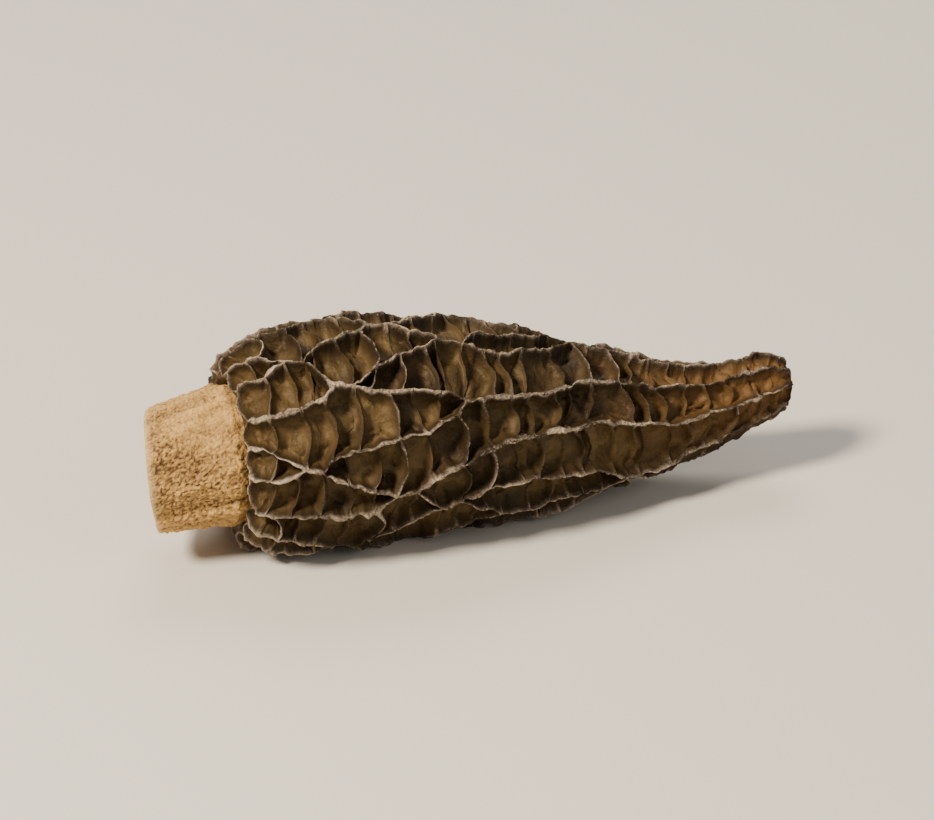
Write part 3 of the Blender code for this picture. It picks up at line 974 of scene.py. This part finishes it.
def extrude_open_ring(mesh, place, crest=0.0):
    """Extrudes the selected open ring, and puts its new points where place(around) says."""
    edit("edges", bpy.ops.mesh.extrude_region)
    chosen = read(mesh.vertices, "select", bool)
    set_places(mesh, place(stored(mesh, "around")[chosen]), chosen)
    for name, value in (("crest", crest), ("deep", 1.0 - crest), ("ring", len(PIT_RINGS))):
        mark(mesh, name, chosen, value)


# Under the rim the cap turns in and hugs the stem's tube, as (x, gap to the tube)
UNDER_RIM = [(0.7, 0.7), (1.5, 0.25), (2.6, 0.12)]
# The knot at the tip, as (x from its rim, share of its rim's radius, how much of a crest it is),
# and its lobes, as waves
TIP_KNOT = [(0.12, 0.72, 1.0), (0.05, 0.5, 0.8), (-0.4, 0.36, 0.2), (-0.9, 0.2, 0.0)]
TIP_LOBES = [(0.3, 2, 0.5, 0.0), (0.22, 3, 2.0, 0.0), (0.12, 5, 1.0, 0.0)]
# The open rings at the rim and at the tip lie within these shares of the cap's length
RIM_SHARE = 0.1
TIP_SHARE = 0.9
# Inside, the cap follows the tube so far off it, and the tube's wall round the hollow is so thick
INSIDE_STEPS = 9
TUBE_GAP = 0.12
TUBE_WALL = 0.35


def tube_radius(x):
    """Outside of the stem and of the hollow's lining, on which the cap sits."""
    share = np.clip((STEM_TOP_X - x) / (STEM_TOP_X - STEM_CUT_X), 0, 1)
    stem = STEM_TOP_RADIUS + (STEM_CUT_RADIUS - STEM_TOP_RADIUS) * share**STEM_TAPER
    inside = np.clip((x - STEM_TOP_X) / (UNDER_RIM[-1][0] - STEM_TOP_X), 0, 1)
    return stem * (1 - inside) + (HOLLOW.over(x) + TUBE_WALL) * inside


def tip_points(x, share, around):
    """A ring of the knot at the tip, pressed into uneven lobes."""
    lobed = waves(TIP_LOBES, x, around)
    tip_x, tip_radius = CAP.points[-1]
    return body_points(tip_x + x * lobed, around, tip_radius * share * lobed)


def close_cap(cap):
    """Closes the tip with a knot, and turns the rim in, along the tube and shut behind it."""
    mesh = cap.data
    select_open_crest(mesh, TIP_SHARE, math.inf)
    for x, share, crest in TIP_KNOT:
        extrude_open_ring(mesh, lambda around: tip_points(x, share, around), crest)
    edit("edges", bpy.ops.mesh.edge_face_add, bpy.ops.mesh.poke)
    select_open_crest(mesh, -math.inf, RIM_SHARE)
    start, end = UNDER_RIM[-1][0], HOLLOW.points[-1, 0] + 2 * TUBE_WALL
    steps = np.arange(1, INSIDE_STEPS + 1)
    inner = [(start + (end - start) * step / INSIDE_STEPS, TUBE_GAP) for step in steps]
    for x, gap in UNDER_RIM + inner:
        extrude_open_ring(mesh, lambda around: body_points(x, around, tube_radius(x) + gap))
    edit(
        "edges",
        bpy.ops.mesh.edge_face_add,
        bpy.ops.mesh.poke,
        lambda: bpy.ops.mesh.select_all(action="SELECT"),
        lambda: bpy.ops.mesh.normals_make_consistent(inside=False),
    )


def make_cap(net):
    cap = lay_net(net)
    off, places = sink_pits(cap, net)
    place_rings(cap, net, off, places)
    close_cap(cap)
    cap.data.shade_smooth()
    return cap


# The stem's tube as a grid: steps along its outside, over the cut, and along its inside
HIDDEN_STEPS = 12
STEM_STEPS = 60
LIP_STEPS = 8
MOUTH_STEPS = 40
DEEP_STEPS = 24
TUBE_COLUMNS = 288
MOUTH_END_X = 6.0
# The cut's rounding, how quickly its pale edge fades, and how rough the surface is: it starts
# smooth in the cap, gets calmer towards the cut, and has its own values inside
LIP = 0.3
EDGE_FALL = 40
ROUGH_START = 4
CUT_CALM = 0.5
CUT_FALL = 6
MOUTH_ROUGHNESS = 0.6
DEEP_ROUGHNESS = 0.4
# Meal: grains with sunk gaps where the noise is near 0, in patches from calm to rough, then
# broad lumps, and furrows drawn out along the stem, which they wind round a little
GRAIN_SIZE = 0.52
GRAIN_HEIGHT = 0.25
GRAIN_MIDDLE = 0.22
CALM_SIZE = 7.0
CALM_MIDDLE = 0.85
CALM_CONTRAST = 1.2
CALM_RANGE = (0.4, 1.2)
EDGE_CALM = 0.35
LUMP_SIZE = 2.2
LUMP_HEIGHT = 0.12
FURROW_SIZE = 1.2
FURROW_STRETCH = 0.14
FURROW_HEIGHT = 0.42
FURROW_TWIST = 0.026


def cut_x(around, radius):
    """The oblique cut end's x at a place on it."""
    sideways = CUT_SLANT_Y * radius * np.sin(around)
    return STEM_CUT_X - sideways + CUT_SLANT_Z * radius * np.cos(around)


def tube_section(around):
    """(x, radius, inside, roughened, pale edge) of the tube along its section, for each angle."""
    blind, top, inner = HOLLOW.points[-1, 0], UNDER_RIM[-1][0], HOLLOW_OUTLINE[0][1]
    cut = cut_x(around, STEM_CUT_RADIUS)
    section = []
    for share in np.arange(HIDDEN_STEPS) / HIDDEN_STEPS:
        x = blind + TUBE_WALL + (top - blind - TUBE_WALL) * share
        section.append((x, tube_radius(x) if share else 0.0, 1.0, 0.0, 0.0))
    for share in np.arange(STEM_STEPS) / (STEM_STEPS - 1):
        x = top + (cut + LIP - top) * share
        rough = min(1.0, ROUGH_START * share) * (1 - CUT_CALM * share**CUT_FALL)
        radius = tube_radius(x) * waves(WRINKLES, x, around)
        section.append((x, radius, 0.0, rough, share**EDGE_FALL))
    for step in range(1, LIP_STEPS + 1):
        turn = math.pi * step / (LIP_STEPS + 1)
        wall = STEM_CUT_RADIUS * waves(WRINKLES, cut, around) - inner
        radius = inner + wall * (1 + math.cos(turn)) / 2
        x = cut_x(around, radius) + LIP - LIP * math.sqrt(math.sin(turn))
        inside = step / LIP_STEPS / 2
        section.append((x, radius, inside, 1 - CUT_CALM, 1 - inside))
    for share in np.arange(MOUTH_STEPS) / MOUTH_STEPS:
        first = cut_x(around, inner) + LIP
        x = first + (MOUTH_END_X - first) * share
        section.append((x, HOLLOW.over(x), 1.0, MOUTH_ROUGHNESS, 0.0))
    for share in np.arange(DEEP_STEPS + 1) / DEEP_STEPS:
        x = MOUTH_END_X + (blind - MOUTH_END_X) * share
        section.append((x, HOLLOW.over(x) if share < 1 else 0.0, 1.0, DEEP_ROUGHNESS, 0.0))
    return section


def make_stem():
    """The stem and the hollow's lining: one tube, from its blind end out, over the cut and in."""
    turns = np.linspace(0, TURN, TUBE_COLUMNS + 1)
    section = np.array([np.broadcast_arrays(turns, *part) for part in tube_section(turns)])
    stem, row, column = rolled_grid("stem", len(section) - 1, TUBE_COLUMNS)
    mesh = stem.data
    column %= TUBE_COLUMNS
    around, x, radius, inside, rough, edge = section[row, :, column].T
    points = body_points(x, around, radius)
    calm = CALM_MIDDLE + CALM_CONTRAST * noise_at(points, CALM_SIZE, "calm")
    calm = np.clip(calm, *CALM_RANGE) * (1 - EDGE_CALM * edge)
    grain = np.abs(noise_at(points, GRAIN_SIZE, "grain")) / GRAIN_MIDDLE
    twisted = body_points(x, around + FURROW_TWIST * x, radius) * (FURROW_STRETCH, 1, 1)
    furrow = noise_at(twisted, FURROW_SIZE, "furrow")
    bump = GRAIN_HEIGHT * calm * (grain - 1) / 2 + FURROW_HEIGHT * furrow * (1 - inside)
    bump += LUMP_HEIGHT * noise_at(points, LUMP_SIZE, "lump")
    hidden = (row == 0) | (row == len(section) - 1)
    set_places(mesh, body_points(x, around, np.where(hidden, 0.0, radius + rough * bump)))
    store(mesh, "inside", inside)
    store(mesh, "edge", edge)
    # The furrows and the grains are kept for the material, which paints shade where they sink
    store(mesh, "furrow", furrow)
    store(mesh, "grain", np.minimum(grain, 1) * calm + 1 - calm)
    join_doubles(JOIN_STEM, lambda: bpy.ops.mesh.normals_make_consistent(inside=False))
    mesh.shade_smooth()
    return stem


def colour(hex_code):
    """An sRGB hex colour as the linear values that nodes take."""
    parts = [int(hex_code[at : at + 2], 16) / 255 for at in (1, 3, 5)]
    return (*[c / 12.92 if c <= 0.04045 else ((c + 0.055) / 1.055) ** 2.4 for c in parts], 1.0)


def fill(node, sockets):
    """Gives sockets their values, or links where they are given other nodes' outputs."""
    for name, value in sockets.items():
        if isinstance(value, bpy.types.NodeSocket):
            node.id_data.links.new(value, node.inputs[name])
        else:
            node.inputs[name].default_value = value


def add_node(tree, kind, sockets, output=None, **settings):
    """Adds a node and returns its output: the named one, or the first that is in use."""
    node = tree.nodes.new("ShaderNode" + kind)
    for name, value in settings.items():
        setattr(node, name, value)
    fill(node, sockets)
    return node.outputs[output] if output else next(out for out in node.outputs if out.enabled)


def new_material(name):
    """A material, the function that adds a node to it, and its shader."""
    material = bpy.data.materials.new(name)
    material.use_nodes = True
    tree = material.node_tree
    return material, partial(add_node, tree), tree.nodes["Principled BSDF"]


# Noise in the cap's flesh, as (size in mm, detail): blotches on the pit floors, grain all over,
# streaks and paler stretches along the crests, and folds in the pits
CAP_NOISE = [(2.5, 3.0), (0.3, 4.0), (0.8, 3.0), (6.0, 1.0), (2.0, 2.0)]
# Shares of a pit's own tone, and of the grain and the stretches in how worn and pale a crest
# is and where it has painted glints
TONE_SHARE = 0.4
GRAIN_WEAR_AND_GLINT = 0.9
STRETCH_WEAR_AND_GLINT = 0.6
STRETCH_PALENESS = 1.2
GRAIN_BUMP = 0.3 * METRES
FOLD_BUMP = 0.12 * METRES
PLEAT_BUMP = 0.25 * METRES
# Pleats stand this far apart in mm, and so many in a radian round the cap
PLEAT_SPACING = 0.5
PLEATS_ROUND = 6.0


def dried_cap_flesh():
    """Air dried morel flesh: brittle, leathery skin that is smooth and faintly waxy down in the
    pits, and dull, crinkled and pale where the crests have rubbed and bleached, with cream
    specks on the crests that are partly their own pale bits and partly painted glints."""
    material, add, shader = new_material("air dried morel flesh")
    place = add("TexCoord", {}, "Object")
    deep, crest, low, tone, length, around = (
        add("Attribute", {}, "Fac", attribute_name=name)
        for name in ("deep", "crest", "low", "tone", "length", "around")
    )
    blotch, grain, streak, stretch, fold = (
        add("TexNoise", {"Vector": place, "Scale": 1 / (size * METRES), "Detail": detail})
        for size, detail in CAP_NOISE
    )
    # Pit floors: olive to golden brown, by pit and by blotch, honey brown near the tip, and a
    # little lighter at the rim, a painted glow of brightly lit pits
    shade = add("Math", {0: tone, 1: TONE_SHARE, 2: blotch}, operation="MULTIPLY_ADD")
    shade = add("MapRange", {"Value": shade, "From Min": 0.42, "From Max": 0.96})
    tip = add("MapRange", {"Value": length, "From Min": 0.6, "From Max": 1.0})
    # Painted glow: the pits near the rim are painted a lighter ochre, as if brightly lit
    painted_rim_glow = {"Value": length, "From Max": 0.16, "To Min": 0.2, "To Max": 0.0}
    rim = add("MapRange", painted_rim_glow)
    skin = colour("#281d10")
    for amount, tint in ((shade, "#5a482c"), (tip, "#6a4b29"), (rim, "#6c5330")):
        layer = {"Factor": amount, "A": skin, "B": colour(tint)}
        skin = add("Mix", layer, data_type="RGBA")
    # Sides of the ribs: dark brown from just below the crest
    side = add("MapRange", {"Value": deep, "From Min": 0.15, "From Max": 0.75})
    layer = {"Factor": side, "A": colour("#20160e"), "B": skin}
    skin = add("Mix", layer, data_type="RGBA")
    # Crests: pale grey, broken up by the grain, in paler and darker stretches, with cream specks
    # that are partly the crests' own pale bits and partly painted glints
    wear_and_glint = crest
    for part, share in ((grain, GRAIN_WEAR_AND_GLINT), (stretch, STRETCH_WEAR_AND_GLINT)):
        wear_and_glint = add("Math", {0: part, 1: share, 2: wear_and_glint}, operation="MULTIPLY_ADD")
    streaks = {0: stretch, 1: STRETCH_PALENESS, 2: streak}
    streak = add("Math", streaks, operation="MULTIPLY_ADD")
    streak = add("MapRange", {"Value": streak, "From Min": 0.88, "From Max": 1.3})
    # Cream specks on the crests: partly pale bits of their own, partly painted glints
    speck_and_glint = add("MapRange", {"Value": wear_and_glint, "From Min": 1.65, "From Max": 2.0})
    pale = colour("#322923")
    for amount, tint in ((streak, "#7f7265"), (speck_and_glint, "#c8b49d")):
        layer = {"Factor": amount, "A": pale, "B": colour(tint)}
        pale = add("Mix", layer, data_type="RGBA")
    # They fade down the ribs' sides, and low walls are less rubbed
    band = add("MapRange", {"Value": wear_and_glint, "From Min": 0.9, "From Max": 1.5})
    fading = {"Value": deep, "From Min": 0.05, "From Max": 0.42, "To Min": 0.95, "To Max": 0.1}
    for less in (fading, {"Value": low, "To Min": 1.0, "To Max": 0.5}):
        share = add("MapRange", less)
        band = add("Math", {0: band, 1: share}, operation="MULTIPLY")
    skin = add("Mix", {"Factor": band, "A": skin, "B": pale}, data_type="RGBA")
    rough = add("MapRange", {"Value": crest, "To Min": 0.57, "To Max": 0.92})
    # Crinkled crests and a faint grain in the pits
    height = add("MapRange", {"Value": crest, "To Min": 0.25, "To Max": 1.0})
    bump = add("Bump", {"Strength": height, "Distance": GRAIN_BUMP, "Height": grain})
    # Low folds in the pits, sharp along their tops
    fold = add("Math", {0: fold, 1: 0.5}, operation="SUBTRACT")
    fold = add("Math", {0: fold}, operation="ABSOLUTE")
    fold = add("Math", {0: fold, 1: -1.6, 2: 1.0}, operation="MULTIPLY_ADD")
    fold = add("Math", {0: fold, 1: 3.0}, operation="POWER")
    folds = {"Strength": side, "Distance": FOLD_BUMP, "Height": fold, "Normal": bump}
    bump = add("Bump", folds)
    # Faint pleats down the ribs' sides
    along = add("Math", {0: length, 1: CAP.length / PLEAT_SPACING}, operation="MULTIPLY")
    around = add("Math", {0: around, 1: PLEATS_ROUND}, operation="MULTIPLY")
    spread = add("CombineXYZ", {"X": along, "Y": around})
    pleat = add("TexNoise", {"Vector": spread, "Scale": 1.0, "Detail": 2.0})
    pleats = {"Strength": 0.35, "Distance": PLEAT_BUMP, "Height": pleat, "Normal": bump}
    surface = {
        "Base Color": skin,
        "Roughness": rough,
        # A faint sheen, warm as light that has gone through thin dried skin
        "Specular IOR Level": 0.36,
        "Specular Tint": colour("#f7e2c2"),
        "Normal": add("Bump", pleats),
    }
    fill(shader, surface)
    return material


# Noise in the stem's flesh, as (size in mm, detail): meal, and patches
STEM_NOISE = [(0.35, 4.0), (3.0, 2.0)]
# Shares of the furrows, the patches and the grain in how light the stem is; the furrows and
# the grain give painted shade where the surface sinks
STEM_TONE_AND_SHADE_SHARES = (0.35, 0.4, 0.5)
EDGE_PALENESS = 0.45
MEAL_BUMP = 0.3 * METRES


def dried_stem_flesh():
    """Air dried morel stem: mealy, pale tan and dull, with painted shade in its sunk furrows and
    between its grains, and a mottle that is darker where the meal's bump sinks, partly its own
    mottle and partly painted shade, with a browner lining and a clean, pale cut edge."""
    material, add, shader = new_material("air dried mealy stem")
    place = add("TexCoord", {}, "Object")
    inside, edge, furrow, grain = (
        add("Attribute", {}, "Fac", attribute_name=name)
        for name in ("inside", "edge", "furrow", "grain")
    )
    meal, patch = (
        add("TexNoise", {"Vector": place, "Scale": 1 / (size * METRES), "Detail": detail})
        for size, detail in STEM_NOISE
    )
    furrow = add("MapRange", {"Value": furrow, "From Min": -0.5, "From Max": 0.5})
    # How light the stem is: the meal, partly its own mottle and partly painted shade where its bump
    # sinks; the furrows and the grain, as painted shade where the surface sinks; the patches
    light = meal
    for part, share in zip((furrow, patch, grain), STEM_TONE_AND_SHADE_SHARES):
        light = add("Math", {0: part, 1: share, 2: light}, operation="MULTIPLY_ADD")
    light = add("MapRange", {"Value": light, "From Min": 0.85, "From Max": 1.65})
    edge = add("Math", {0: edge, 1: EDGE_PALENESS}, operation="MULTIPLY")
    lining = {"Factor": meal, "A": colour("#5c3f21"), "B": colour("#ab8650")}
    lining = add("Mix", lining, data_type="RGBA")
    skin = colour("#55391d")
    for amount, tint in ((light, colour("#d8ab63")), (inside, lining), (edge, colour("#e6c78e"))):
        skin = add("Mix", {"Factor": amount, "A": skin, "B": tint}, data_type="RGBA")
    bump = add("Bump", {"Strength": 0.9, "Distance": MEAL_BUMP, "Height": meal})
    fill(shader, {"Base Color": skin, "Roughness": 0.9, "Normal": bump})
    return material


# In metres
FLOOR_SIZE = 6


def pale_floor():
    """A matt painted board, a little warmer than white."""
    bpy.ops.object.select_all(action="DESELECT")
    bpy.ops.mesh.primitive_plane_add(size=FLOOR_SIZE)
    floor = bpy.context.active_object
    floor.name = "floor"
    material, _, shader = new_material("matt painted board")
    fill(shader, {"Base Color": colour("#dcd8d1"), "Roughness": 0.85})
    floor.data.materials.append(material)


# Camera: the photograph's viewing angle, in degrees, and the width of its frame at the morel,
# in metres
AZIMUTH = -17
ELEVATION = 27
CAMERA_DISTANCE = 0.6
FRAME_WIDTH = 0.112
SENSOR_WIDTH = 36
# Lights, as (azimuth, elevation, distance in m, size in m, power in W, colour)
LIGHTS = {
    "key": (-68, 45, 0.7, 0.18, 10.3, "#ffefd6"),
    "fill": (40, 28, 0.9, 0.7, 2.2, "#f6f0e6"),
    "back": (165, 50, 0.8, 0.4, 3.0, "#fff6ea"),
}
# Soft light from all sides
WORLD_COLOUR = "#e4e2de"
WORLD_STRENGTH = 0.25


def aim(name, data, target, azimuth, elevation, distance):
    """Places a camera or a light so far from the target, facing it."""
    thing = bpy.data.objects.new(name, data)
    a, e = math.radians(azimuth), math.radians(elevation)
    way = Vector((math.sin(a) * math.cos(e), -math.cos(a) * math.cos(e), math.sin(e)))
    thing.location = target + way * distance
    thing.rotation_euler = way.to_track_quat("Z", "Y").to_euler()
    bpy.context.scene.collection.objects.link(thing)
    return thing


def add_camera(target):
    data = bpy.data.cameras.new("camera")
    data.sensor_width = SENSOR_WIDTH
    data.lens = SENSOR_WIDTH * CAMERA_DISTANCE / FRAME_WIDTH
    camera = aim("camera", data, target, AZIMUTH, ELEVATION, CAMERA_DISTANCE)
    bpy.context.scene.camera = camera


def add_lights(target):
    for name, (azimuth, elevation, distance, size, power, tint) in LIGHTS.items():
        data = bpy.data.lights.new(name, "AREA")
        data.shape = "DISK"
        data.size = size
        data.energy = power
        data.color = colour(tint)[:3]
        aim(name, data, target, azimuth, elevation, distance)
    world = bpy.data.worlds.new("studio")
    world.use_nodes = True
    sky = {"Color": colour(WORLD_COLOUR), "Strength": WORLD_STRENGTH}
    fill(world.node_tree.nodes["Background"], sky)
    bpy.context.scene.world = world


def main():
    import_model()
    low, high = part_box("morel")
    cap = make_cap(Net())
    stem = make_stem()
    cap.data.materials.append(dried_cap_flesh())
    stem.data.materials.append(dried_stem_flesh())
    for piece, slot in ((cap, "dried_cap"), (stem, "dried_stem")):
        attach(piece, "root")
    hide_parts("morel")
    pale_floor()
    target = (low + high) / 2
    add_camera(target)
    add_lights(target)


main()
